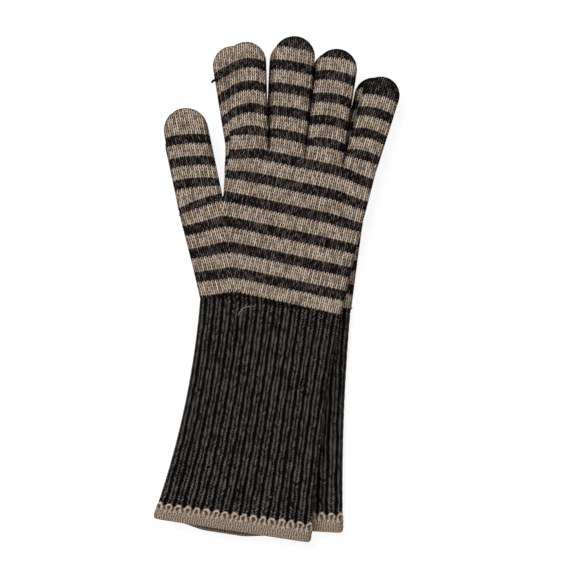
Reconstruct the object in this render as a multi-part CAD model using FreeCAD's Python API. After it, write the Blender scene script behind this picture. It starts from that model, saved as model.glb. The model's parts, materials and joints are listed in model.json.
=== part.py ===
import FreeCAD, Part
import math
import os

# A pair of long knitted gloves, laid flat one on the other.
# World frame: +Y towards the fingertips, +X to the right, +Z up, origin at the bottom centre
# of the whole pair. Each glove is first drawn in its own frame: origin at the middle of the
# wrist, +v along the palm towards the fingers, +u to the right. Millimetres and degrees.

# ---- fabric ----
GLOVE_THICK = 8.0        # one glove lying flat, front and back together
WALL = 1.6               # the knitted wall
STACK_GAP = 0.4          # air between the two gloves
EDGE_ROUND = 3.4         # rounding where the tube turns from front to back
BODY_GAP = 0.6           # clear width between two sections that move apart
CROTCH_GAP = 1.0         # clear width between neighbouring finger roots
MOUTH_RUN = 4.0          # how far a cavity is carried past an open end

# ---- palm ----
WRIST_HALF = 46.0        # half width at the wrist
WRIST_RISE = 4.0         # the wrist line runs up to the right by twice this
KNUCKLE_V = 100.0        # the line where the four fingers begin
KNUCKLE_LEFT = -48.0
KNUCKLE_RIGHT = 48.6
PALM_LEFT_MID = (-57.4, 20.0)
PALM_RIGHT_MID = (46.5, 42.0)
THUMB_OUTER = (-70.4, 46.0)
THUMB_CROTCH = (-45.4, 64.0)
THUMB_INSET = 0.5        # the thumb root stops this far short of its crotch
CROTCHES_U = (-22.6, 1.4, 26.7)

# ---- finger joins: the few stitches that close front to back between two fingers ----
JOIN_WIDE = 2.0
JOIN_LONG = 3.0

# ---- cuff and hem ----
CUFF_LEFT_MID = (-41.2, -66.0)
CUFF_RIGHT_MID = (49.9, -68.0)
HEM_TOP_LEFT = (-44.8, -141.8)
HEM_TOP_RIGHT = (56.9, -133.9)
HEM_BOTTOM_LEFT = (-45.2, -151.0)
HEM_BOTTOM_RIGHT = (57.8, -144.8)

# ---- the two gloves ----
# lean: how far the palm axis turns clockwise; place: the middle of the wrist.
# fingers: lean to the right of the palm axis (left is negative), length to the tip, tip radius.
GLOVES = {
    "lower": {
        "place": (3.1, -11.6, 0.0),
        "lean": 6.7,
        "cuff_shorter": 2.6,
        "thumb": (-18.6, 60.5, 14.6),
        "fingers": {
            "index": (-14.6, 68.2, 13.2),
            "middle": (-1.3, 74.5, 14.0),
            "ring": (2.0, 70.5, 13.5),
            "little": (8.4, 57.0, 12.4),
        },
    },
    "upper": {
        "place": (-3.6, -11.05, GLOVE_THICK + STACK_GAP),
        "lean": 12.2,
        "cuff_shorter": 0.0,
        "thumb": (-23.4, 64.1, 14.3),
        "fingers": {
            "index": (-14.6, 67.0, 12.9),
            "middle": (-7.9, 76.1, 13.4),
            "ring": (-4.3, 73.4, 13.1),
            "little": (3.9, 61.8, 12.1),
        },
    },
}

UP = FreeCAD.Vector(0, 0, 1)
NEAR = 0.01              # a point this close to a line counts as on it


def point(uv):
    return FreeCAD.Vector(uv[0], uv[1], 0)


def heading(lean):
    """The unit direction that leans this many degrees to the right of +v."""
    a = math.radians(lean)
    return FreeCAD.Vector(math.sin(a), math.cos(a), 0)


def across(start, end):
    """The unit vector to the left of the way from start to end."""
    return UP.cross(end - start).normalize()


def line(start, end):
    return Part.LineSegment(start, end).toShape()


def arc(start, middle, end):
    return Part.Arc(start, middle, end).toShape()


def flat_face(edges):
    return Part.Face(Part.Wire(Part.__sortEdges__(edges)))


def fused_face(faces):
    merged = faces[0].fuse(faces[1:]).removeSplitter()
    return merged.Faces[0]


def mouth(start, end, way):
    """The strip that carries an open end from start to end onwards along way, drawn clockwise."""
    run = way * MOUTH_RUN
    corners = [start, end, end + run, start + run, start]
    if (end - start).cross(way).z > 0:
        corners.reverse()
    return Part.Face(Part.makePolygon(corners))


def on_segment(p, ends):
    return p.distanceToLine(ends[0], ends[1] - ends[0]) < NEAR


def knitted_tube(edges, openings):
    """A flattened tube with this outline. Each opening is (start, end, the way out)."""
    face = flat_face(edges)
    outer = face.extrude(UP * GLOVE_THICK)
    rims = []
    for edge in outer.Edges:
        low, high = edge.BoundBox.ZMin, edge.BoundBox.ZMax
        if high - low > NEAR:
            continue
        middle = edge.valueAt((edge.FirstParameter + edge.LastParameter) / 2)
        flat_middle = FreeCAD.Vector(middle.x, middle.y, 0)
        if not any(on_segment(flat_middle, way) for way in openings):
            rims.append(edge)
    outer = outer.makeFillet(EDGE_ROUND, rims)
    reach = fused_face([face] + [mouth(*way) for way in openings])
    hollow = reach.makeOffset2D(-WALL, 2)
    cavity = hollow.extrude(UP * (GLOVE_THICK - 2 * WALL))
    cavity.translate(UP * WALL)
    return outer.cut(cavity)


def tangent_point(p, centre, radius, side):
    """Where the line from p touches the circle, on its left (1) or right (-1) side."""
    d = centre - p
    turn = math.asin(radius / d.Length)
    reach = math.sqrt(d.Length ** 2 - radius ** 2)
    a = math.atan2(d.y, d.x) + side * turn
    return p + FreeCAD.Vector(math.cos(a), math.sin(a), 0) * reach


def finger(left, right, lean, length, radius):
    """A finger from its root line, left to right, to a round tip."""
    way = heading(lean)
    root = (left + right) * 0.5
    tip = root + way * length
    centre = tip - way * radius
    on_left = tangent_point(left, centre, radius, 1)
    on_right = tangent_point(right, centre, radius, -1)
    edges = [
        line(left, on_left),
        arc(on_left, tip, on_right),
        line(on_right, right),
        line(right, left),
    ]
    return knitted_tube(edges, [(left, right, -way)])


def wrist_ends():
    return point((-WRIST_HALF, -WRIST_RISE)), point((WRIST_HALF, WRIST_RISE))


def thumb_root():
    return point(THUMB_OUTER), point(THUMB_CROTCH)


def palm(thumb_lean):
    half_gap = BODY_GAP / 2
    wrist_left, wrist_right = wrist_ends()
    up_from_wrist = across(wrist_left, wrist_right)
    wrist_left += up_from_wrist * half_gap
    wrist_right += up_from_wrist * half_gap
    outer, crotch = thumb_root()
    back = across(outer, crotch) * half_gap
    outer -= back
    crotch -= back
    knuckle_left = point((KNUCKLE_LEFT, KNUCKLE_V - half_gap))
    knuckle_right = point((KNUCKLE_RIGHT, KNUCKLE_V - half_gap))
    edges = [
        arc(wrist_left, point(PALM_LEFT_MID), outer),
        line(outer, crotch),
        line(crotch, knuckle_left),
        line(knuckle_left, knuckle_right),
        arc(knuckle_right, point(PALM_RIGHT_MID), wrist_right),
        line(wrist_right, wrist_left),
    ]
    openings = [
        (wrist_left, wrist_right, -up_from_wrist),
        (outer, crotch, heading(thumb_lean)),
        (knuckle_left, knuckle_right, heading(0)),
    ]
    return knitted_tube(edges, openings)


def finger_joins():
    posts = []
    for u in CROTCHES_U:
        corner = FreeCAD.Vector(u - JOIN_WIDE / 2, KNUCKLE_V - BODY_GAP / 2 - JOIN_LONG, WALL)
        posts.append(Part.makeBox(JOIN_WIDE, JOIN_LONG, GLOVE_THICK - 2 * WALL, corner))
    return Part.makeCompound(posts)


def thumb(lean, length, radius):
    outer, crotch = thumb_root()
    off = across(outer, crotch) * (BODY_GAP / 2)
    along = (crotch - outer).normalize()
    return finger(outer + off, crotch + off - along * THUMB_INSET, lean, length, radius)


def finger_roots():
    """Each finger's root ends on the knuckle line, from the index to the little finger."""
    lefts = [KNUCKLE_LEFT] + [u + CROTCH_GAP / 2 for u in CROTCHES_U]
    rights = [u - CROTCH_GAP / 2 for u in CROTCHES_U] + [KNUCKLE_RIGHT]
    v = KNUCKLE_V + BODY_GAP / 2
    return [(point((a, v)), point((b, v))) for a, b in zip(lefts, rights)]


def cuff_lines(shorter):
    """The cuff's three levels, each as (left, right), and the ways out at wrist and hem."""
    left, right = wrist_ends()
    down = -across(left, right)
    top = (left + down * (BODY_GAP / 2), right + down * (BODY_GAP / 2))
    away = -across(point(HEM_TOP_LEFT), point(HEM_TOP_RIGHT))
    lift = away * -shorter
    hem_top = (point(HEM_TOP_LEFT) + lift, point(HEM_TOP_RIGHT) + lift)
    hem_bottom = (point(HEM_BOTTOM_LEFT) + lift, point(HEM_BOTTOM_RIGHT) + lift)
    return top, hem_top, hem_bottom, down, away


def cuff(shorter):
    top, hem_top, _, down, away = cuff_lines(shorter)
    edges = [
        line(top[0], top[1]),
        arc(top[1], point(CUFF_RIGHT_MID), hem_top[1]),
        line(hem_top[1], hem_top[0]),
        arc(hem_top[0], point(CUFF_LEFT_MID), top[0]),
    ]
    openings = [(top[0], top[1], -down), (hem_top[0], hem_top[1], away)]
    return knitted_tube(edges, openings)


def hem(shorter):
    _, top, bottom, _, away = cuff_lines(shorter)
    edges = [
        line(top[0], top[1]),
        line(top[1], bottom[1]),
        line(bottom[1], bottom[0]),
        line(bottom[0], top[0]),
    ]
    openings = [(top[0], top[1], -away), (bottom[0], bottom[1], away)]
    return knitted_tube(edges, openings)


def glove(name, spec):
    """One glove's sections in its own frame."""
    nodes = {
        f"{name}_palm": palm(spec["thumb"][0]),
        f"{name}_finger_joins": finger_joins(),
        f"{name}_thumb": thumb(*spec["thumb"]),
        f"{name}_cuff": cuff(spec["cuff_shorter"]),
        f"{name}_hem": hem(spec["cuff_shorter"]),
    }
    for (digit, shape), (left, right) in zip(spec["fingers"].items(), finger_roots()):
        nodes[f"{name}_{digit}_finger"] = finger(left, right, *shape)
    return nodes


def placement(spec):
    turn = FreeCAD.Rotation(UP, -spec["lean"])
    return FreeCAD.Placement(FreeCAD.Vector(*spec["place"]), turn)


def hinge_places():
    """The ends of each hinge line and the outer corners, in the glove's own frame."""
    outer, crotch = thumb_root()
    left, right = wrist_ends()
    places = {"thumb": (outer, crotch), "cuff": (right, left)}
    digits = GLOVES["upper"]["fingers"]
    for digit, (a, b) in zip(digits, finger_roots()):
        down = FreeCAD.Vector(0, -BODY_GAP / 2, 0)
        places[digit] = (a + down, b + down)
    return places


def whole_box(shapes):
    box = FreeCAD.BoundBox()
    for shape in shapes:
        box.add(shape.optimalBoundingBox())
    return box


def main():
    os.makedirs("parts", exist_ok=True)
    nodes = {}
    for name, spec in GLOVES.items():
        for node, shape in glove(name, spec).items():
            nodes[node] = shape.transformed(placement(spec).toMatrix())
    box = whole_box(nodes.values())
    shift = FreeCAD.Vector(-box.Center.x, -box.Center.y, -box.ZMin)
    print("size", round(box.XLength, 2), round(box.YLength, 2), round(box.ZLength, 2))
    for node, shape in nodes.items():
        shape.translate(shift)
        shape.exportStep(os.path.join("parts", node + ".step"))
        print(node, shape.isValid(), len(shape.Solids), round(shape.Volume, 1))
    top = UP * GLOVE_THICK
    for name, spec in GLOVES.items():
        where = placement(spec)
        for place, (a, b) in hinge_places().items():
            ends = [where.multVec(p + top) + shift for p in (a, b)]
            print("hinge", name, place, [tuple(round(x, 3) for x in p) for p in ends])


main()
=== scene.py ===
import json
import math

import bpy
import numpy as np
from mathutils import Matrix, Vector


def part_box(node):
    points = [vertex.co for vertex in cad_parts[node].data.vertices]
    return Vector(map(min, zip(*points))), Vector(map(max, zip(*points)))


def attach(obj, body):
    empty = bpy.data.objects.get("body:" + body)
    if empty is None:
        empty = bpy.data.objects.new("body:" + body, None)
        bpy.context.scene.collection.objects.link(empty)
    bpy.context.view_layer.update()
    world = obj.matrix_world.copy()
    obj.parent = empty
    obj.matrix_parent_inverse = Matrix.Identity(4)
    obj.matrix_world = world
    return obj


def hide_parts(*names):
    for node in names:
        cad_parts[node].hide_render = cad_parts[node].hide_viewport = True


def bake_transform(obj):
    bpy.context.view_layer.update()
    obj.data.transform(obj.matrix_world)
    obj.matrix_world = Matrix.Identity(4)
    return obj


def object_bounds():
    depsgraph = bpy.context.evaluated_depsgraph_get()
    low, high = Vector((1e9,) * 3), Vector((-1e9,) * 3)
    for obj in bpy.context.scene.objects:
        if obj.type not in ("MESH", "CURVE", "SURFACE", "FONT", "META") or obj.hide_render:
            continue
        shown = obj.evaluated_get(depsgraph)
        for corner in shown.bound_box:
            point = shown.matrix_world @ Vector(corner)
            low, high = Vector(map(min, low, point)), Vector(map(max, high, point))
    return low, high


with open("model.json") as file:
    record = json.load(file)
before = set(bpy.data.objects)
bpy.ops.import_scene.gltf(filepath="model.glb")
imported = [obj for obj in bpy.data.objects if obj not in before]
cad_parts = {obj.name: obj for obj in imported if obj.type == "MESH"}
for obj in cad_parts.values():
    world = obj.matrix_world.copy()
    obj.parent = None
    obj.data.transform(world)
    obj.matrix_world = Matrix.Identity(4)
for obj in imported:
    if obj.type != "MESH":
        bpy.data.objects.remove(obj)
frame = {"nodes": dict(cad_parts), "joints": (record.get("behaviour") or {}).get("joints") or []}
cad_low, cad_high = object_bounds()

# A pair of long knitted gloves lying flat, one on the other. Shapes are worked out in millimetres
# in each glove's own frame: origin at the middle of the wrist, u to the right, v to the fingers.
# Knitting words: a wale is a column of stitches, a course is a row of them.

MM = 0.001

# ---- gauge ----
WALE = 2.76              # width of one column of stitches
STRIPE = 15.74           # from one dark stripe to the next
COURSES = 7              # rows in one repeat of the stripes
DARK_COURSES = 3         # how many of them are dark
COURSE = STRIPE / COURSES
V_RISE = 1.25            # how many courses a whole wale's V would climb
FIRST_DARK = 17.0        # middle of the first dark stripe above the wrist
THUMB_BACK = 2 * STRIPE  # the thumb's stripes are counted from this much lower than the fingers'
GUSSET_TOP = 68.0        # height where the gusset of the thumb ends
GUSSET_LEAN = 28.0       # degrees its wales lean from the palm's
RIBS = 17                # ribs on each face of a cuff
RIB_WIDE = 5.2           # from rib to rib in the cuff, for the grain of its wool
HEM_RIB_WIDE = 5.9       # the same in the hem
RIB_COURSE = 1.85        # height of one row of the rib
RIB_RISE = 2.4           # how many rows a whole rib's V would climb

# ---- the flattened tube ----
HALF = 3.3               # half thickness under the stitches
HEM_HALF = 2.9           # the same at the hem
WALL = 1.5               # thickness of the knitted wall
EDGE_RUN = 7.5           # how far in from its edge the tube reaches full thickness
ROUNDNESS = 2.2          # of the edge: 2 is an ellipse, more is squarer
STITCH_HIGH = 0.55       # how far the stitches stand up
RIB_HIGH = 1.0           # how far a rib stands up from the sunk wale beside it
RIB_SINK = 0.42          # how far that wale lies below the half thickness
HEM_HIGH = 0.85          # how far the loops of the hem stand up
WRIST_HALF, WRIST_RISE = 46.0, 4.0     # the lower cuff's hinge, from the middle of the wrist
BAND_LOW, BAND_HIGH = 3.4, 4.6         # heights of the upright band round each CAD section

# ---- how the sections meet ----
TUCK = 1.2               # how far a section's end runs on inside its neighbour
PALM_LAP = 0.3           # how far the palm runs on below the wrist
HEM_LAP = 0.5            # how far the hem runs on above its top
TIP_SHORT = 0.35         # how far before a fingertip the last row lies
FINGER_BEND = 12.0       # length past a digit's root line to where a bend would end; worked out, but nothing is bent
WRIST_BEND = 16.0        # the same below the wrist; also nothing is bent

# ---- sizes of the cloth, which set the number of mesh rows and columns ----
PALM_CLOTH = 104.0
FINGER_CLOTH, THUMB_CLOTH = 31.5, 34.0
CUFF_LONG = 138.0
HEM_LONG = 10.0
HEM_ROWS = 30
CELL = {"lower": 0.60, "upper": 0.47}  # from column to column
COLUMNS_IN_RIB = {"lower": 8, "upper": 11}
ROW_STEP = {"palm": 1.08, "digit": 1.05, "cuff": 1.35}     # from row to row, in cells
INNER_STEP = 10          # the inner wall has one row for this many of the skin
INNER_SHORT = 8          # and ends this many rows of the skin before a closed tip

DIGITS = ("thumb", "index", "middle", "ring", "little")
NEIGHBOURS = tuple(zip(DIGITS[1:-1], DIGITS[2:]))     # fingers beside each other
joints = {j["name"]: j for j in frame["joints"]}


def joint_at(name):
    return np.array(joints[name]["pos_m"][:2]) / MM


def unit(v):
    return v / np.linalg.norm(v)


def smooth(x, low=0.0, high=1.0):
    t = np.clip((x - low) / (high - low), 0, 1)
    return t * t * (3 - 2 * t)


# ---------------------------------------------------------------- the rounded profile
# Tables of the edge: distance in from it, length along the cloth, and how much longer that is.
_s = np.linspace(0, 1, 3001) ** 2
_rise = (1 - (1 - _s) ** ROUNDNESS) ** (1 / ROUNDNESS)
_run = _s * EDGE_RUN
_arc = np.concatenate([[0], np.cumsum(np.hypot(np.diff(_run), np.diff(_rise * HALF)))])
_extra = (_arc[-1] - _arc) - (EDGE_RUN - _run)


def extra(d):
    """How much longer the cloth is than its flat outline, from d in to where it lies flat."""
    return np.interp(d, _run, _extra)


def rise(d, run=EDGE_RUN):
    """Height of the profile from 0 to 1, at a distance d from the edge."""
    x = np.clip(d / run, 0, 1)
    return (1 - (1 - x) ** ROUNDNESS) ** (1 / ROUNDNESS)


def tilt(d):
    """Angle of the cloth from flat, at a distance d from the edge."""
    x = np.clip(d / EDGE_RUN, 1e-5, 1)
    slope = (1 - (1 - x) ** ROUNDNESS) ** (1 / ROUNDNESS - 1) * (1 - x) ** (ROUNDNESS - 1)
    return np.arctan(slope * HALF / EDGE_RUN)


def spread(width, count):
    """Places across rows of these half widths, evenly spaced along the cloth."""
    w = width[:, None]
    inner = extra(w)
    reach = w + extra(0.0) - inner
    s = reach * np.linspace(-1, 1, count + 1)[None, :]
    flat = w - inner - np.abs(s)
    d = np.interp(flat, _run - _extra, _run, right=np.nan)
    d = np.where(np.isnan(d), flat, d)
    return np.sign(s) * np.clip(w - d, 0, None)


# ---------------------------------------------------------------- stitches, for mesh and shader
class Wire:
    """A number in a material's node tree, which can be added, multiplied and so on."""

    def __init__(self, tree, socket):
        self.tree, self.socket = tree, socket

    def op(self, kind, *others):
        node = self.tree.nodes.new("ShaderNodeMath")
        node.operation = kind
        for place, value in zip(node.inputs, (self,) + others):
            if isinstance(value, Wire):
                self.tree.links.new(value.socket, place)
            else:
                place.default_value = float(value)
        return Wire(self.tree, node.outputs[0])

    def __add__(self, x): return self.op("ADD", x)
    def __radd__(self, x): return self.op("ADD", x)
    def __sub__(self, x): return self.op("SUBTRACT", x)
    def __rsub__(self, x): return self.op("MULTIPLY", -1).op("ADD", x)
    def __mul__(self, x): return self.op("MULTIPLY", x)
    def __rmul__(self, x): return self.op("MULTIPLY", x)
    def __truediv__(self, x): return self.op("DIVIDE", x)
    def __abs__(self): return self.op("ABSOLUTE")


def fraction(x):
    return x.op("FRACT") if isinstance(x, Wire) else x - np.floor(x)


def whole(x):
    return x.op("FLOOR") if isinstance(x, Wire) else np.floor(x)


def sine(x):
    return x.op("SINE") if isinstance(x, Wire) else np.sin(x)


def power(x, n):
    return x.op("MAXIMUM", 0).op("POWER", n) if isinstance(x, Wire) else np.maximum(x, 0) ** n


def larger(x, y):
    return x.op("MAXIMUM", y) if isinstance(x, Wire) else np.maximum(x, y)


def clamp(x):
    if isinstance(x, Wire):
        return x.op("MAXIMUM", 0).op("MINIMUM", 1)
    return np.clip(x, 0, 1)


def off_centre(w):
    """Distance from the middle of a wale, 0 to 0.5. Wale middles are at whole numbers."""
    return abs(fraction(w + 0.5) - 0.5)


def stocking(w, row):
    """Plain knitting: steep legs in V's that point to the cuff. Height from 0 to 1."""
    a = off_centre(w)
    phase = fraction(row - V_RISE * a)
    lean = abs(a - 0.14 - 0.22 * phase)
    across = power(1 - power(clamp(lean * 4.6), 2.0), 0.9)
    along = power(sine(phase * math.pi), 0.45)
    return across * (0.55 + 0.45 * along)


def ribbing(r, row):
    """One-by-one rib: a raised wale of V's at each half number, a sunk one between."""
    a = abs(fraction(r) - 0.5)
    ridge = power(clamp((0.5 - a) * 6.5), 0.8)
    phase = fraction(row - RIB_RISE * a)
    lean = abs(a - 0.08 - 0.24 * phase)
    leg = power(1 - power(clamp(lean * 5.6), 2.0), 0.8)
    along = power(sine(phase * math.pi), 1.4)
    return clamp(ridge * (0.12 + 0.88 * leg * along))


def facing(w):
    """Which leg of a stitch this is: 1 on the right leg, 0 on the left."""
    return clamp((fraction(w + 0.5) - 0.5) * 12 + 0.5)


def stripe_phase(row, w):
    """Courses from the start of a repeat of the stripes, 0 to 7; the first 3 are dark."""
    shift = FIRST_DARK / COURSE - V_RISE / 4 - DARK_COURSES / 2
    return fraction((row - V_RISE * off_centre(w) - shift) / COURSES) * COURSES


# ---------------------------------------------------------------- outlines, from the CAD
class Glove:
    """One glove's frame, and the outline of its sections, read from the CAD nodes."""

    def __init__(self, name):
        self.name, self.cell = name, CELL[name]
        self.rib_columns = RIBS * COLUMNS_IN_RIB[name]
        if name == "upper":
            self.u = unit(np.array(joints["upper_index_fold"]["axis"][:2]))
            self.v = np.array([-self.u[1], self.u[0]])
            self.origin = joint_at("upper_cuff_fold")
        else:
            left, right = joint_at("lower_index_spread"), joint_at("lower_little_spread")
            self.u = unit(right - left)
            self.v = np.array([-self.u[1], self.u[0]])
            corner = joint_at("lower_cuff_swing")
            self.origin = corner - self.u * WRIST_HALF - self.v * WRIST_RISE
        low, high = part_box(name + "_palm")
        self.bottom = low.z / MM
        self.middle = (low.z + high.z) / 2 / MM
        self.edges = []
        self.digits = {}
        for digit in DIGITS:
            self.read_digit(digit)
        self.read_sides()
        self.edges = np.array(self.edges)

    def local(self, xy):
        """Places in the world, in the glove's own frame."""
        return np.stack([(xy - self.origin) @ self.u, (xy - self.origin) @ self.v], -1)

    def world(self, uv):
        """Places in the glove's own frame, in the world."""
        return self.origin + uv[..., :1] * self.u + uv[..., 1:] * self.v

    def rim(self, node):
        """Corners of a node's outline: the ends of its upright side band."""
        co = np.array([v.co for v in frame["nodes"][self.name + node].data.vertices]) / MM
        up = co[:, 2] - self.bottom
        band = (abs(up - BAND_LOW) < 0.03) | (abs(up - BAND_HIGH) < 0.03)
        found = np.unique(np.round(self.local(co[band, :2]), 2), axis=0)
        return found[np.argsort(found[:, 1])]

    def side(self, points, inside):
        """Adds a silhouette line, with the way out of the glove."""
        for a, b in zip(points[:-1], points[1:]):
            along = b - a
            out = unit(np.array([-along[1], along[0]]))
            if out @ ((a + b) / 2 - inside) < 0:
                out = -out
            self.edges.append((a, b, out))

    def read_digit(self, digit):
        """A digit's frame and sides: a circle fitted at the tip, and tangents from the root."""
        node = "_thumb" if digit == "thumb" else f"_{digit}_finger"
        rim = self.rim(node)
        left, right = sorted(rim[:2].tolist())
        left, right = np.array(left), np.array(right)
        tip_rim = rim[2:]
        fit = np.linalg.lstsq(
            np.column_stack([2 * tip_rim, np.ones(len(tip_rim))]),
            (tip_rim ** 2).sum(1), rcond=None)[0]
        centre = fit[:2]
        radius = math.sqrt(fit[2] + centre @ centre)
        root = (left + right) / 2
        way = unit(centre - root)
        across = np.array([way[1], -way[0]])
        chains = []
        for corner, hand in ((left, 1), (right, -1)):
            d = centre - corner
            far = np.linalg.norm(d)
            turn = math.atan2(d[1], d[0]) + hand * math.asin(radius / far)
            reach = math.sqrt(far ** 2 - radius ** 2)
            touch = corner + np.array([math.cos(turn), math.sin(turn)]) * reach
            stop = math.atan2(way[1], way[0])
            turn = math.atan2(touch[1] - centre[1], touch[0] - centre[0]) - stop
            turn = (turn + math.pi) % (2 * math.pi) - math.pi
            round_tip = stop + turn * np.linspace(1, 0, 40)
            arc = centre + radius * np.column_stack([np.cos(round_tip), np.sin(round_tip)])
            chain = np.vstack([corner, arc])
            self.side(chain, centre)
            rel = chain - root
            chains.append(np.column_stack([rel @ way, rel @ across]))
        self.digits[digit] = dict(
            root=root, way=way, across=across, length=(centre - root) @ way + radius,
            chains=chains, left=left, right=right, half=radius)

    def read_sides(self):
        """The sides of the palm, cuff and hem, and the crotches between the fingers."""
        rims = {section: self.rim("_" + section) for section in ("palm", "cuff", "hem")}
        self.left = {section: rim[rim[:, 0] < 0] for section, rim in rims.items()}
        self.right = {section: rim[rim[:, 0] > 0] for section, rim in rims.items()}
        in_palm, in_gusset = np.array([0.0, 50.0]), np.array([-45.0, 30.0])
        in_cuff = np.array([0.0, -70.0])
        thumb = self.digits["thumb"]
        wall = self.left["palm"]
        below = np.vstack([wall[wall[:, 1] < thumb["left"][1]], thumb["left"]])
        above = np.vstack([thumb["right"], wall[wall[:, 1] > thumb["right"][1]],
                           self.digits["index"]["left"]])
        self.side(below, in_gusset)
        self.side(above, in_palm)
        self.side(np.vstack([self.right["palm"], self.digits["little"]["right"]]), in_palm)
        for section, above in (("cuff", "palm"), ("hem", "cuff")):
            for chain in (self.left, self.right):
                self.side(np.vstack([chain[section], chain[above][:1]]), in_cuff)
        for a, b in NEIGHBOURS:
            self.side(np.array([self.digits[a]["right"], self.digits[b]["left"]]), in_palm)

    def nearest(self, points):
        """Distance from each point to the silhouette, and the way out."""
        flat = points.reshape(-1, 2)
        low, high = flat.min(0) - EDGE_RUN, flat.max(0) + EDGE_RUN
        best = np.full(len(flat), 1e9)
        out = np.zeros_like(flat)
        for a, b, normal in self.edges:
            least, most = np.minimum(a, b), np.maximum(a, b)
            if (most < low).any() or (least > high).any():
                continue
            along = b - a
            close = ((flat >= least - EDGE_RUN) & (flat <= most + EDGE_RUN)).all(1)
            near = flat[close]
            t = np.clip((near - a) @ along / max(along @ along, 1e-9), 0, 1)
            gap = a + t[:, None] * along - near
            dist = np.hypot(gap[:, 0], gap[:, 1])
            nearer = dist < best[close]
            index = np.flatnonzero(close)[nearer]
            best[index] = dist[nearer]
            side = gap[nearer] / np.maximum(dist[nearer], 1e-9)[:, None]
            side[dist[nearer] < 0.02] = normal
            out[index] = side
        shape = points.shape[:-1]
        return best.reshape(shape), out.reshape(points.shape)


# ---------------------------------------------------------------- meshes
def ring_faces(first, second, count):
    """Quads between two rings whose first points have these numbers."""
    j = np.arange(count)
    k = (j + 1) % count
    return np.column_stack([first + j, first + k, second + k, second + j])


def wrapped(front, back):
    """Rings that go across the front and return across the back."""
    return np.concatenate([front, back[:, -2:0:-1]], 1)


class Tube:
    """A section of a glove: an outer skin of stitches and an inner wall, joined at the open ends.

    left and right are the ends of its rows. With a tip, the last row closes to that point.
    """

    def __init__(self, glove, left, right, columns, half=HALF, tip=None):
        self.glove, self.n, self.tip = glove, columns, tip
        self.left, self.right = left, right
        self.half = np.broadcast_to(half, len(left))[:, None]
        self.flat = self.lay(left, right, 0.0)
        self.gap, self.out = glove.nearest(self.flat)

    def lay(self, left, right, inset):
        """Points across rows with these ends, drawn in by the inset at each end."""
        wide = np.linalg.norm(right - left, axis=1) / 2
        way = (right - left) / (2 * wide[:, None])
        x = spread(np.maximum(wide - inset, 0.05), self.n)
        centre = (left + right) / 2
        return centre[:, None, :] + way[:, None, :] * x[..., None]

    def unrolled(self):
        """Where each point would lie if the cloth were rolled out flat."""
        return self.flat + self.out * extra(self.gap)[..., None]

    def at_edge(self):
        """Stitches stand half as high at the very edge."""
        return smooth(self.gap, -0.2, 1.0) * 0.5 + 0.5

    def soft_folds(self):
        """Low, wide unevenness of cloth that has been laid down by hand."""
        u, v = self.flat[..., 0], self.flat[..., 1]
        k = 0.0 if self.glove.name == "upper" else 1.7
        waves = (np.sin(u / 9.1 + v / 17.3 + k) * np.sin(v / 12.7 - u / 31.0 + 2 * k)
                 + 0.6 * np.sin(u / 5.3 - v / 8.9 + k))
        return 0.12 * waves * smooth(self.gap, 0, 5)

    def skin(self, relief, shift_back):
        """The stitched outside, a ring of points for each row."""
        steep = np.where(self.gap >= EDGE_RUN, 0.0, tilt(self.gap))
        side, up = self.out * np.sin(steep)[..., None], np.cos(steep)
        base = self.half * rise(self.gap)
        for field in (base, up):
            field[:, 0] = field[:, -1] = 0.0
        sheets = []
        for hand in (1, -1):
            uv = self.flat + side * relief[..., None]
            if hand < 0 and shift_back is not None:
                uv = uv + shift_back
            z = self.glove.middle + hand * (base + up * relief)
            sheets.append(np.concatenate([self.glove.world(uv), z[..., None]], -1))
        return wrapped(*sheets)

    def inner_wall(self, rows, shift_back):
        """The smooth inside, a ring of points for each of these rows."""
        flat = self.lay(self.left[rows], self.right[rows], WALL)
        gap, _ = self.glove.nearest(flat)
        height = (self.half[rows] - WALL) * rise(np.maximum(gap - WALL, 0), EDGE_RUN - WALL)
        height[:, 0] = height[:, -1] = 0.0
        sheets = []
        for hand in (1, -1):
            uv = flat if hand > 0 or shift_back is None else flat + shift_back[rows]
            z = self.glove.middle + hand * height
            sheets.append(np.concatenate([self.glove.world(uv), z[..., None]], -1))
        return wrapped(*sheets)

    def build(self, name, relief, facts, shift_back=None):
        """The section's object. The facts are fields over its points, for the material."""
        rows, size = len(self.flat), 2 * self.n
        kept = np.unique(np.linspace(0, rows - 1, max(3, rows // INNER_STEP)).astype(int))
        if self.tip is not None:
            kept = kept[kept < rows - INNER_SHORT]
        outer, inner = self.skin(relief, shift_back), self.inner_wall(kept, shift_back)
        points = np.concatenate([outer.reshape(-1, 3), inner.reshape(-1, 3)])
        values = {}
        for key, field in (*facts.items(), ("rim", self.gap)):
            ring = wrapped(field, field)
            values[key] = np.concatenate([ring.ravel(), ring[kept].ravel()])
        values["inside"] = np.repeat([0.0, 1.0], [rows * size, len(kept) * size])
        last, first_in = (rows - 1) * size, rows * size
        last_in = first_in + (len(kept) - 1) * size
        faces = [ring_faces(i, i + size, size) for i in range(0, last, size)]
        faces += [ring_faces(i + size, i, size) for i in range(first_in, last_in, size)]
        faces.append(ring_faces(first_in, 0, size))
        if self.tip is None:
            faces.append(ring_faces(last, last_in, size))
            return stitched(name, points, faces, values)
        tip = np.append(self.glove.world(self.tip), self.glove.middle)
        inner_tip = points[last_in:last_in + size].mean(0)
        j = np.arange(size)
        for start, top, order in ((last, tip, 1), (last_in, inner_tip, -1)):
            points = np.vstack([points, top])
            values = {key: np.append(field, field[start]) for key, field in values.items()}
            cap = np.full(size, len(points) - 1)
            fan = np.column_stack([start + j, start + (j + 1) % size])[:, ::order]
            faces.append(np.column_stack([fan, cap, cap]))
        return stitched(name, points, faces, values)


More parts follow.
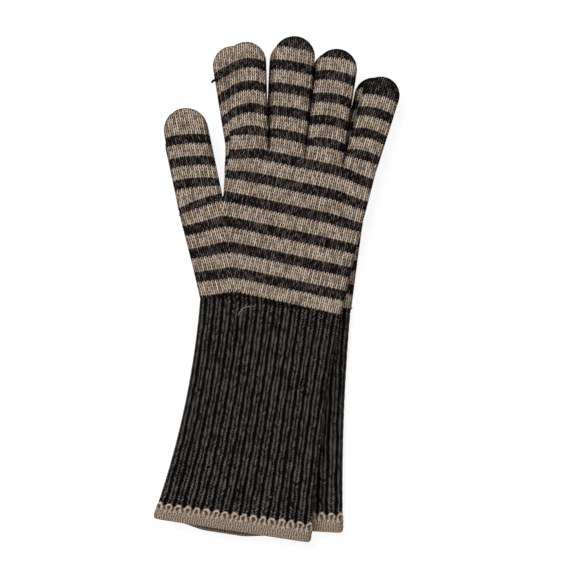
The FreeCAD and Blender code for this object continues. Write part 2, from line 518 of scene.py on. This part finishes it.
def stitched(name, points, faces, values):
    """A mesh of quads, with the fans at closed tips as triangles."""
    quads = np.vstack(faces)
    triangle = quads[:, 2] == quads[:, 3]
    mesh = bpy.data.meshes.new(name)
    lengths = np.where(triangle, 3, 4)
    used = np.column_stack([np.ones((len(quads), 3), bool), ~triangle])
    loops = quads.ravel()[used.ravel()]
    starts = np.concatenate([[0], np.cumsum(lengths)[:-1]])
    mesh.vertices.add(len(points))
    mesh.vertices.foreach_set("co", (points * MM).astype(np.float32).ravel())
    mesh.loops.add(len(loops))
    mesh.loops.foreach_set("vertex_index", loops.astype(np.int32))
    mesh.polygons.add(len(quads))
    mesh.polygons.foreach_set("loop_start", starts.astype(np.int32))
    mesh.polygons.foreach_set("use_smooth", np.ones(len(quads), bool))
    mesh.update(calc_edges=True)
    for key, field in values.items():
        attribute = mesh.attributes.new(key, "FLOAT", "POINT")
        attribute.data.foreach_set("value", field.astype(np.float32))
    mesh.validate()
    if signed_volume(mesh, points) < 0:
        mesh.flip_normals()
    piece = bpy.data.objects.new(name, mesh)
    bpy.context.scene.collection.objects.link(piece)
    return piece


def signed_volume(mesh, points):
    """Six times the volume inside; negative if the faces look inwards."""
    mesh.calc_loop_triangles()
    tri = np.zeros(len(mesh.loop_triangles) * 3, np.int32)
    mesh.loop_triangles.foreach_get("vertices", tri)
    a, b, c = (points[tri.reshape(-1, 3)[:, i]] for i in range(3))
    return float((a * np.cross(b, c)).sum())


def sides_at(chain, v):
    """Points on a side chain at these heights."""
    return np.column_stack([np.interp(v, chain[:, 1], chain[:, 0]), v])


# ---------------------------------------------------------------- the knit's coordinates
# Stripes on each digit: the first past the root line, their spacing, how much further from the
# tip they lie at the right edge than at the left, and how far they sag at both edges.
STRIPES = {
    "thumb": (0.6, 14.4, 3.6, 1.4),
    "index": (9.2, 14.6, -1.6, 4.0),
    "middle": (11.2, 15.0, 2.6, 0.8),
    "ring": (11.6, 14.7, 0.6, 2.2),
    "little": (8.8, 14.4, -0.6, 2.0),
}
PLAIN_TIP = {"thumb": 50.8, "index": 59.0}     # taupe from here to the tip
DARK_TIP = {"middle": 71.0, "ring": 70.0, "little": 51.3}     # dark from here to the tip
PAST_PALM = FIRST_DARK + 6 * STRIPE            # the first dark stripe on the fingers


def tip_stripe(digit):
    """Where a digit's tip turns one colour, and the place in the stripes it keeps to from there."""
    if digit in DARK_TIP:
        start, middle = DARK_TIP[digit], FIRST_DARK
    else:
        start, middle = PLAIN_TIP[digit], FIRST_DARK + STRIPE / 2
    first, pitch = STRIPES[digit][:2]
    reached = PAST_PALM + (start - first) / pitch * STRIPE
    return start, middle + round((reached - middle) / STRIPE) * STRIPE


def mitre(v):
    """The line where the gusset of the thumb meets the palm."""
    return -22.1 - 0.40 * v


def palm_course(u, v):
    """Rows of the palm as a length: straight in the middle, dropping to the sides and gusset."""
    over = mitre(v) - u
    over = (over + np.sqrt(over ** 2 + 3.0 ** 2)) / 2     # how far past the line, rounded at it
    slope = (0.437 + 0.0037 * (v - 37)) * (1 - smooth(v, 62, 74))
    left = 4.8 * smooth(-u, 27, 50) * smooth(v, 70, 92)
    right = 3.9 * smooth(u, 22, 50) * smooth(v, 40, 95)
    return v + slope * over + left + right


def boundary(u):
    """Where the striped knitting ends and the rib begins."""
    return 4.7 - 8.5 * smooth(-u, 22, 48) - 0.9 * smooth(u, 24, 50)


def palm_piece(glove):
    columns = int(PALM_CLOTH / glove.cell)
    t = np.linspace(0, 1, int(PALM_CLOTH / (glove.cell * ROW_STEP["palm"])))
    lefts, rights = (
        sides_at(side, side[0, 1] - PALM_LAP + (side[-1, 1] - side[0, 1] + PALM_LAP) * t)
        for side in (glove.left["palm"], glove.right["palm"]))
    tube = Tube(glove, lefts, rights, columns)
    u, v = np.moveaxis(tube.unrolled(), -1, 0)
    wale, row, rib_row = u / WALE, palm_course(u, v) / COURSE, v / RIB_COURSE
    lean = math.radians(GUSSET_LEAN)
    wale_side = (u * math.cos(lean) + v * math.sin(lean)) / WALE
    over = (mitre(v) - u) * (v < GUSSET_TOP)
    rib = np.broadcast_to(np.linspace(0, RIBS, columns + 1), u.shape)
    edge = v - boundary(u) - 2.2 * (2 * off_centre(wale) - 0.5)     # each wale ends in a point
    ribbed = 1 - smooth(edge, -0.5, 0.5)
    relief = stocking(np.where(over > 0, wale_side, wale), row) * STITCH_HIGH * (1 - ribbed)
    relief += (ribbing(rib, rib_row) * RIB_HIGH - RIB_SINK) * ribbed
    relief *= tube.at_edge()
    relief += tube.soft_folds()
    facts = {"wale": wale, "wale_side": wale_side, "mitre": over, "row": row, "band": row,
             "rib": rib, "edge": edge, "rib_row": rib_row}
    piece = tube.build(glove.name + "_palm_knit", relief, facts)
    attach(piece, glove.name + "_palm")
    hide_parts(glove.name + "_palm")
    return piece


def digit_sides(d, t):
    """The ends of a digit's rows at these distances from its root, level with it by the tip."""
    fade = np.where(t < 0, 1.0, np.clip(1 - t / 40.0, 0, 1.0))
    ends = []
    for chain in d["chains"]:
        at = np.minimum(t + chain[0, 0] * fade, chain[-1, 0] - 0.02)
        x = np.interp(at, chain[:, 0], chain[:, 1])
        ends.append(d["root"] + at[:, None] * d["way"] + x[:, None] * d["across"])
    return ends


def digit_piece(glove, digit):
    d = glove.digits[digit]
    is_thumb = digit == "thumb"
    length = d["length"]
    reach = length + extra(0.0)
    rows = int((reach + TUCK) / (glove.cell * ROW_STEP["digit"]))
    columns = int((THUMB_CLOTH if is_thumb else FINGER_CLOTH) / glove.cell)
    laid = np.linspace(-TUCK, reach - TIP_SHORT, rows)
    t = length - np.interp(length - laid, _run - _extra, _run, right=np.nan)
    t = np.where(np.isnan(t), laid, t)
    tip = d["root"] + d["way"] * length
    tube = Tube(glove, *digit_sides(d, t), columns, tip=tip)

    laid_uv = tube.unrolled()
    u, v = np.moveaxis(laid_uv, -1, 0)
    rel = laid_uv - d["root"]
    x, s = rel @ d["across"], rel @ d["way"]     # across and along the digit
    first, pitch, tilted, sag = STRIPES[digit]
    across = x / d["half"]
    root_line = unit(d["right"] - d["left"])
    off = np.array([-root_line[1], root_line[0]])
    past_root = smooth(s, 0, 14)
    run = rel @ off * (1 - past_root) + s * past_root
    bow = tilted / 2 * across + sag * (np.clip(abs(across), 0, 1.3) ** 2)
    along = PAST_PALM + (run + bow * smooth(s, 0, 12) - first) / pitch * STRIPE
    own = x / WALE
    tip_from, tip_band = tip_stripe(digit)
    if is_thumb:
        along -= THUMB_BACK
        tip_band -= THUMB_BACK
        wale, course = own, along
    else:
        turn, mix = smooth(s, 0, 16), smooth(s, -1, 10)
        wale = (u / WALE) * (1 - turn) + (own + d["root"][0] / WALE) * turn
        course = palm_course(u, v) * (1 - mix) + along * mix
    band = np.where(s > tip_from, tip_band, np.minimum(course, tip_band))
    row = course / COURSE
    relief = stocking(wale, row) * STITCH_HIGH * tube.at_edge()
    relief += tube.soft_folds()
    relief -= 0.45 * (1 - smooth(s, -TUCK, 0.1))     # the tucked end is thinner
    far = np.full_like(u, 50.0)                      # no gusset and no rib on a digit
    facts = {"wale": wale, "wale_side": wale, "mitre": -far, "row": row, "band": band / COURSE,
             "rib": far * 0, "edge": far, "rib_row": row}
    piece = tube.build(f"{glove.name}_{digit}_knit", relief, facts)
    start = glove.world(d["root"]) * MM
    stop = glove.world(d["root"] + off * FINGER_BEND) * MM
    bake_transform(piece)
    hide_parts(glove.name + ("_thumb" if digit == "thumb" else f"_{digit}_finger"))
    return piece


def cuff_piece(glove):
    sides = glove.left["cuff"], glove.right["cuff"]
    tops = [side[-1, 1] + PALM_LAP + TUCK for side in sides]
    t = np.linspace(0, 1, int(CUFF_LONG / (glove.cell * ROW_STEP["cuff"])))
    lefts, rights = (sides_at(side, top + (side[0, 1] - top) * t)
                     for side, top in zip(sides, tops))
    half = HALF + (HEM_HALF - HALF) * smooth(t, 0.8, 1.0)
    columns = glove.rib_columns
    tube = Tube(glove, lefts, rights, columns, half=half)
    span = sum(top - side[0, 1] for side, top in zip(sides, tops)) / 2
    down = (span * t)[:, None] + np.zeros(columns + 1)
    rib = np.broadcast_to(np.linspace(0, RIBS, columns + 1), down.shape)
    # The ribs wander a little, but not beside the palm or at the sides.
    k = 0.0 if glove.name == "upper" else 2.1
    wander = 0.03 * np.sin(down / 6.3 + rib * 2.4 + k) + 0.025 * np.sin(down / 2.9 - rib * 1.7 + k)
    wander = wander * smooth(down, 2, 12) * smooth(RIBS / 2 - abs(rib - RIBS / 2), 0.1, 0.9)
    rib = rib + wander
    row = -down / RIB_COURSE
    relief = ribbing(rib, row) * RIB_HIGH - RIB_SINK
    relief += tube.soft_folds()
    relief -= 0.5 * (1 - smooth(down, 0, TUCK + 0.2))     # the tucked end is thinner
    hem = span - down
    loops = hem_loops(rib, hem)
    relief = relief * (1 - loops) + loop_relief(rib, -hem) * HEM_HIGH * loops
    facts = {"rib": rib, "rib_row": row, "hem": hem}
    piece = tube.build(glove.name + "_cuff_knit", relief, facts)
    bend_at_wrist(glove, piece)
    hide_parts(glove.name + "_cuff")
    return piece


def bend_at_wrist(glove, piece):
    """Works out where the piece would turn from the palm to the cuff, just below the wrist, but
    only bakes its placement into its mesh.
    """
    left, right = glove.left["cuff"][-1], glove.right["cuff"][-1]
    top = (left + right) / 2
    line = unit(right - left)
    off = np.array([line[1], -line[0]])
    start, stop = glove.world(top) * MM, glove.world(top + off * WRIST_BEND) * MM
    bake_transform(piece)


def hem_loops(rib, hem):
    """The round heads of the hem's first stitches, one on each rib."""
    a = abs(fraction(rib) - 0.5)
    reach = (2.7 + 0.5 * sine(rib * 3.9)) * power(clamp(1 - power(a * 2.6, 2.0)), 0.5)
    return clamp((reach - hem) * 2.2)


def loop_relief(rib, down):
    """Stitches of the hem: a tall loop on each rib, then small legs to the edge.

    down is measured from the top of the hem, and is negative above it.
    """
    shake = 0.32 * sine(rib * 2.7 + down * 0.9) + 0.22 * sine(rib * 7.1 - down * 1.7)
    x = (fraction(rib) - 0.5) * 5.6 + shake
    above = larger(0.4 - down, 0.0) * 0.78
    away = power(x * x + above * above, 0.5)
    strand = power(clamp(1 - abs(away - 1.5) * 1.15), 0.6)
    strand = strand * clamp((5.0 - down + shake * 3) * 0.6)
    strand = strand * (0.8 + 0.2 * sine(down * 4.2 + rib * 5))
    legs = stocking(rib * 2.0 + shake * 0.3, down * -0.5 + 0.22 * sine(rib * 4.3))
    legs = legs * clamp((down - 1.4) * 0.5)
    return clamp(0.06 + larger(strand, legs * 0.75) * 0.94)


def hem_piece(glove):
    t = np.linspace(0, 1, HEM_ROWS)
    lefts, rights = (
        sides_at(side, side[-1, 1] + HEM_LAP + (side[0, 1] - side[-1, 1] - HEM_LAP) * t)
        for side in (glove.left["hem"], glove.right["hem"]))
    # The lower corners are rounded, and the edge turns in.
    corner = 1.9 * (1 - np.sqrt(1 - np.clip((t - 0.74) / 0.26, 0, 0.995) ** 2))[:, None]
    way = (rights - lefts) / np.linalg.norm(rights - lefts, axis=1)[:, None]
    lefts, rights = lefts + way * corner, rights - way * corner
    turned = rise(HEM_LONG * (1 - t), 2.2)
    columns = glove.rib_columns
    tube = Tube(glove, lefts, rights, columns, half=HEM_HALF - 0.55 * (1 - turned))
    down = (HEM_LONG * t)[:, None] + np.zeros(columns + 1)
    rib = np.broadcast_to(np.linspace(0, RIBS, columns + 1), down.shape)
    relief = loop_relief(rib, down) * HEM_HIGH * (0.35 + 0.65 * turned[:, None])
    relief -= 0.3 * (1 - smooth(down, 0, 0.6))     # the lapped end is thinner
    back = None
    if glove.name == "upper":
        # The back hangs lower than the front near its middle.
        u = tube.flat[..., 0]
        drop = 2.9 * smooth(u, -32, -10) * (1 - smooth(u, 12, 34)) * smooth(down, 1, 9)
        back = np.stack([np.zeros_like(drop), -drop], -1)
    facts = {"rib": rib, "down": down}
    piece = tube.build(glove.name + "_hem_knit", relief, facts, shift_back=back)
    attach(piece, glove.name + "_cuff")
    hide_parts(glove.name + "_hem")
    return piece


# ---------------------------------------------------------------- yarn details
def yarn(name, lines, thick, body, ends=True):
    """Short lengths of yarn along these lines, in millimetres in the world."""
    curve = bpy.data.curves.new(name, "CURVE")
    curve.dimensions = "3D"
    curve.bevel_depth = thick / 2 * MM
    curve.bevel_resolution = 3
    curve.resolution_u = 8
    curve.use_fill_caps = ends
    for line in lines:
        spline = curve.splines.new("NURBS")
        spline.points.add(len(line) - 1)
        for p, xyz in zip(spline.points, line):
            p.co = (*[c * MM for c in xyz], 1)
        spline.order_u = 3
        spline.use_endpoint_u = True
    curve_object = bpy.data.objects.new(name + "_line", curve)
    bpy.context.scene.collection.objects.link(curve_object)
    bpy.context.view_layer.update()
    graph = bpy.context.evaluated_depsgraph_get()
    mesh = bpy.data.meshes.new_from_object(curve_object.evaluated_get(graph))
    mesh.name = name
    bpy.data.objects.remove(curve_object)
    piece = bpy.data.objects.new(name, mesh)
    bpy.context.scene.collection.objects.link(piece)
    if body:
        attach(piece, body)
    return piece


def join_stitches(glove):
    """Yarn wound front to back between two fingers, twice at each crotch."""
    lines = []
    for a, b in NEIGHBOURS:
        middle = (glove.digits[a]["right"] + glove.digits[b]["left"]) / 2
        for step in (-0.55, 0.55):
            loop = []
            for turn in np.linspace(0, 2 * math.pi, 13):
                xy = glove.world(middle + np.array([
                    step * 1.2 + 0.25 * math.sin(turn), -0.7 + 1.15 * math.cos(turn)]))
                loop.append((xy[0], xy[1], glove.middle + 0.95 * math.sin(turn)))
            lines.append(loop)
    piece = yarn(glove.name + "_join_stitches", lines, 0.75, glove.name + "_palm")
    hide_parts(glove.name + "_finger_joins")
    return piece


def yarn_tail(glove):
    """The dark end of yarn left beside the lower glove's index finger."""
    d = glove.digits["index"]
    at = d["root"] + d["way"] * (d["length"] - 20.5) - d["across"] * 13.0
    lines = []
    for k, lean in enumerate((-0.5, 0.1)):
        path = []
        for s in np.linspace(0, 1, 6):
            uv = at - d["across"] * (3.4 * s - 0.9) - d["way"] * (1.3 * s * s + 0.5 * lean)
            xy = glove.world(uv)
            path.append((xy[0], xy[1], glove.middle + 0.3 + 0.45 * math.sin(4 * s + 2.5 * k)))
        lines.append(path)
    return yarn(glove.name + "_yarn_tail", lines, 1.3, glove.name + "_index")


def fibre_path(glove, uv, length, heading, bend, height):
    """A curved line through a place on the glove, lying at this height."""
    path = []
    for s in np.linspace(-0.5, 0.5, 7):
        angle = heading + bend * s
        p = uv + length * s * np.array([math.cos(angle), math.sin(angle)])
        xy = glove.world(p)
        path.append((xy[0], xy[1], height + 0.25 * math.cos(s * 5)))
    return path


def stray_fibres(glove):
    """Pale loose fibres on the cuff: a long one below the wrist, and two specks of lint."""
    top = glove.middle + HALF + RIB_HIGH - RIB_SINK
    lines = [fibre_path(glove, np.array([-17.3, -5.1]), 10.5, math.radians(50), -0.7, top)]
    for uv in ((51.0, -107.0), (26.5, -121.0)):
        lines.append(fibre_path(glove, np.array(uv), 1.3, 0.7, 2.4, top))
    piece = yarn(glove.name + "_stray_fibres", lines, 0.19, None, ends=False)
    bend_at_wrist(glove, piece)
    return piece


# ---------------------------------------------------------------- materials
def colour(r, g, b):
    """A display colour of 0 to 255 as linear light."""
    def one(c):
        c = c / 255
        return c / 12.92 if c <= 0.04045 else ((c + 0.055) / 1.055) ** 2.4
    return (one(r), one(g), one(b), 1.0)


# Wool from the shade between stitches to their lit tops: places from 0 to 1, display colours.
TAUPE = ((0.0, (25, 18, 13)), (0.25, (77, 62, 50)), (0.55, (140, 121, 105)), (1.0, (228, 209, 189)))
DARK = ((0.0, (1, 1, 1)), (0.36, (8, 6, 5)), (0.64, (28, 23, 21)), (1.0, (122, 112, 105)))
CHARCOAL = ((0.0, (1, 1, 1)), (0.34, (7, 6, 5)), (0.64, (27, 24, 22)), (1.0, (128, 121, 115)))
HEM_TAUPE = ((0.0, (30, 22, 17)), (0.25, (86, 71, 59)), (0.52, (142, 124, 108)),
             (1.0, (222, 204, 186)))
PALE = ((0.0, (150, 145, 138)), (0.5, (196, 191, 184)), (1.0, (232, 228, 222)))


def choose(share, first, second):
    """The first where the share is 0, the second where it is 1."""
    return first * (1 - share) + second * share


class Wool:
    """A wool material under construction."""

    def __init__(self, name):
        self.material = bpy.data.materials.new(name)
        self.material.use_nodes = True
        self.tree = self.material.node_tree
        self.shader = self.tree.nodes["Principled BSDF"]
        self.shader.inputs["Specular IOR Level"].default_value = 0.04
        self.shader.inputs["Sheen Weight"].default_value = 0.02
        self.shader.inputs["Sheen Roughness"].default_value = 0.55

    def fact(self, name):
        """A field that Tube.build put on the mesh."""
        node = self.tree.nodes.new("ShaderNodeAttribute")
        node.attribute_name = name
        return Wire(self.tree, node.outputs["Fac"])

    def place(self, x, y):
        node = self.tree.nodes.new("ShaderNodeCombineXYZ")
        self.tree.links.new(x.socket, node.inputs[0])
        self.tree.links.new(y.socket, node.inputs[1])
        return node.outputs[0]

    def noise(self, x, y, scale, detail=2.0, rough=0.55):
        """Cloudy noise over the cloth."""
        place = self.place(x, y)
        node = self.tree.nodes.new("ShaderNodeTexNoise")
        self.tree.links.new(place, node.inputs["Vector"])
        node.inputs["Scale"].default_value = scale
        node.inputs["Detail"].default_value = detail
        node.inputs["Roughness"].default_value = rough
        return Wire(self.tree, node.outputs["Fac"])

    def chance(self, x, y):
        """Another number from 0 to 1 for every pair of numbers."""
        place = self.place(x, y)
        node = self.tree.nodes.new("ShaderNodeTexWhiteNoise")
        node.noise_dimensions = "2D"
        self.tree.links.new(place, node.inputs["Vector"])
        return Wire(self.tree, node.outputs["Value"])

    def rim_shade(self, amount):
        """Painted shade: darker by this amount at the edge of the section, where the cloth turns
        down.
        """
        return clamp(1 - self.fact("rim") * 0.45) * amount

    def ramp(self, value, stops):
        node = self.tree.nodes.new("ShaderNodeValToRGB")
        band = node.color_ramp
        while len(band.elements) < len(stops):
            band.elements.new(0.5)
        for element, (place, rgb) in zip(band.elements, stops):
            element.position = place
            element.color = colour(*rgb)
        self.tree.links.new(value.socket, node.inputs[0])
        return node.outputs["Color"]

    def mix(self, share, first, second):
        node = self.tree.nodes.new("ShaderNodeMix")
        node.data_type = "RGBA"
        self.tree.links.new(share.socket, node.inputs[0])
        self.tree.links.new(first, node.inputs[6])
        self.tree.links.new(second, node.inputs[7])
        return node.outputs[2]

    def finish(self, tone, height, fibres, depth=0.0004):
        self.tree.links.new(tone, self.shader.inputs["Base Color"])
        bump = self.tree.nodes.new("ShaderNodeBump")
        bump.inputs["Strength"].default_value = 0.8
        bump.inputs["Distance"].default_value = depth
        self.tree.links.new((height + fibres * 0.35).socket, bump.inputs["Height"])
        self.tree.links.new(bump.outputs["Normal"], self.shader.inputs["Normal"])
        self.tree.links.new((fibres * 0.16 + 0.80).socket, self.shader.inputs["Roughness"])
        return self.material


def leg_tone(wool, w, row, climb, amount):
    """A little lighter or darker from one leg of a stitch to the next."""
    leg = whole(w * 2)
    return (wool.chance(leg, whole(row - climb * off_centre(w))) - 0.5) * amount


def striped_knit():
    wool = Wool("striped_knit")
    over = clamp(wool.fact("mitre") * 1000)
    w = choose(over, wool.fact("wale"), wool.fact("wale_side"))
    row, band = wool.fact("row"), wool.fact("band")
    edge, rib, rib_row = wool.fact("edge"), wool.fact("rib"), wool.fact("rib_row")
    x, y = w * WALE, row * COURSE
    fibres = wool.noise(x, y * 0.6, 1.9, 3.0, 0.62)
    cloudy = wool.noise(x, y, 0.12, 2.0)
    ribbed = clamp(edge * -3 + 0.5)
    height = choose(ribbed, stocking(w, row), ribbing(rib, rib_row))
    phase = stripe_phase(band, w)
    dark = 1 - clamp((phase - DARK_COURSES) * 6 + 0.5) * clamp((COURSES - phase) * 6 + 0.5)
    dark = choose(ribbed, dark, 1)
    legs = choose(ribbed, leg_tone(wool, w, row, V_RISE, 0.4),
                  leg_tone(wool, rib + 0.5, rib_row, RIB_RISE, 0.4))
    uneven = legs + (fibres - 0.5) * 0.9 + (cloudy - 0.5) * 0.2
    bright = 1 - dark * 0.8
    # Painted shade and highlight: the tone follows the height of the stitches, dark in the gaps and
    # light on their tops, and the right leg of each stitch is painted lighter than the left.
    tone = height * (0.78 + 0.16 * facing(w) * bright) + 0.03 + uneven
    # Painted shade: the inner wall is made darker, and so is the edge where the cloth turns down.
    tone = tone - wool.fact("inside") * 0.1 - wool.rim_shade(0.26)
    shade = wool.mix(dark, wool.ramp(tone, TAUPE), wool.ramp(tone, DARK))
    return wool.finish(shade, height, fibres)


def charcoal_rib():
    wool = Wool("charcoal_rib")
    rib, row, hem = wool.fact("rib"), wool.fact("rib_row"), wool.fact("hem")
    x, y = rib * RIB_WIDE, row * RIB_COURSE
    fibres = wool.noise(x * 1.25, y * 0.8, 1.5, 3.0, 0.6)
    fleck = power(wool.noise(y, x, 1.5, 2.0, 0.6), 3.0)
    cloudy = wool.noise(x, y, 0.1, 2.0)
    loops = hem_loops(rib, hem)
    height = choose(loops, ribbing(rib, row), loop_relief(rib, hem * -1))
    uneven = (fibres - 0.5) * 2.1 + (cloudy - 0.5) * 0.15
    uneven = uneven + leg_tone(wool, rib + 0.5, row, RIB_RISE, 0.4)
    # Painted shade and highlight: the tone follows the height of the rib, dark between its stitches
    # and light on their tops, where the grey flecks of the yarn show; the edge where the cloth
    # turns down is painted darker.
    tone = height * (0.6 + fleck * 3.4) - 0.05 + uneven - wool.rim_shade(0.2)
    # The taupe loops of the hem: painted shade between them and painted highlight on their tops.
    light = height * 0.8 + 0.14 + (fibres - 0.5) * 0.8
    shade = wool.mix(loops, wool.ramp(tone, CHARCOAL), wool.ramp(light, HEM_TAUPE))
    return wool.finish(shade, height, fibres)


def taupe_hem():
    wool = Wool("taupe_hem")
    rib, down = wool.fact("rib"), wool.fact("down")
    fibres = wool.noise(rib * HEM_RIB_WIDE, down, 1.7, 3.0, 0.62)
    height = loop_relief(rib, down)
    # Painted shade and highlight: the tone follows the height of the loops, and the edge where the
    # cloth turns down is painted darker.
    tone = height * 0.78 + 0.13 + (fibres - 0.5) * 0.9 - wool.rim_shade(0.15)
    # Painted shade: the inner wall is darker the further it lies in from the open lower edge.
    tone = tone - wool.fact("inside") * (clamp((HEM_LONG - down) * 0.3) * 0.4 + 0.04)
    return wool.finish(wool.ramp(tone, HEM_TAUPE), height, fibres)


def loose_yarn(name, stops):
    """Wool for a piece that has no stitches."""
    wool = Wool(name)
    node = wool.tree.nodes.new("ShaderNodeTexCoord")
    noise = wool.tree.nodes.new("ShaderNodeTexNoise")
    noise.inputs["Scale"].default_value = 1800
    noise.inputs["Detail"].default_value = 2
    wool.tree.links.new(node.outputs["Object"], noise.inputs["Vector"])
    fibres = Wire(wool.tree, noise.outputs["Fac"])
    return wool.finish(wool.ramp(fibres * 1.2 - 0.1, stops), fibres, fibres, 0.0001)


# ---------------------------------------------------------------- camera, floor, light
VIEW_WIDE = 0.3744       # what the frame takes in, at the top of the gloves
VIEW_CENTRE = (0.0075, 0.0009)
CAMERA_HIGH = 1.2        # above the top of the gloves
SENSOR = 36
FLOOR_HALF = 4
FLOOR_DOWN = 0.0004      # just under the gloves

camera = bpy.data.objects.new("camera", bpy.data.cameras.new("camera"))
bpy.context.scene.collection.objects.link(camera)
camera.data.sensor_width = SENSOR
camera.data.lens = SENSOR * CAMERA_HIGH / VIEW_WIDE
camera.location = (*VIEW_CENTRE, cad_high.z + CAMERA_HIGH)
bpy.context.scene.camera = camera

floor_mesh = bpy.data.meshes.new("floor")
corners = [(x * FLOOR_HALF, y * FLOOR_HALF, 0) for x, y in ((-1, -1), (1, -1), (1, 1), (-1, 1))]
floor_mesh.from_pydata(corners, [], [(0, 1, 2, 3)])
floor = bpy.data.objects.new("floor", floor_mesh)
floor.location.z = -FLOOR_DOWN
bpy.context.scene.collection.objects.link(floor)
paper = bpy.data.materials.new("pale_floor")
paper.use_nodes = True
surface = paper.node_tree.nodes["Principled BSDF"].inputs
surface["Base Color"].default_value = (0.25, 0.25, 0.25, 1)
surface["Emission Color"].default_value = (1, 1, 1, 1)
surface["Emission Strength"].default_value = 0.84
surface["Roughness"].default_value = 1.0
surface["Specular IOR Level"].default_value = 0.0
floor_mesh.materials.append(paper)

world = bpy.data.worlds.new("studio")
world.use_nodes = True
sky = world.node_tree.nodes["Background"].inputs
sky["Color"].default_value = (1, 1, 1, 1)
sky["Strength"].default_value = 0.55
bpy.context.scene.world = world
bpy.context.scene.view_settings.view_transform = "Standard"

sun = bpy.data.objects.new("soft_sun", bpy.data.lights.new("soft_sun", "SUN"))
sun.data.energy = 2.3
sun.data.angle = math.radians(40)
sun.rotation_euler = (math.radians(-34), math.radians(-30), 0)
bpy.context.scene.collection.objects.link(sun)

# ---------------------------------------------------------------- the gloves
stripes, ribs, hems = striped_knit(), charcoal_rib(), taupe_hem()
taupe_yarn = loose_yarn("taupe_yarn", TAUPE)
charcoal_yarn = loose_yarn("charcoal_yarn", DARK)
pale_fibre = loose_yarn("pale_fibre", PALE)

for glove in (Glove("lower"), Glove("upper")):
    palm_piece(glove).data.materials.append(stripes)
    for digit in DIGITS:
        digit_piece(glove, digit).data.materials.append(stripes)
    cuff_piece(glove).data.materials.append(ribs)
    hem_piece(glove).data.materials.append(hems)
    join_stitches(glove).data.materials.append(taupe_yarn)
    if glove.name == "lower":
        yarn_tail(glove).data.materials.append(charcoal_yarn)
    else:
        stray_fibres(glove).data.materials.append(pale_fibre)
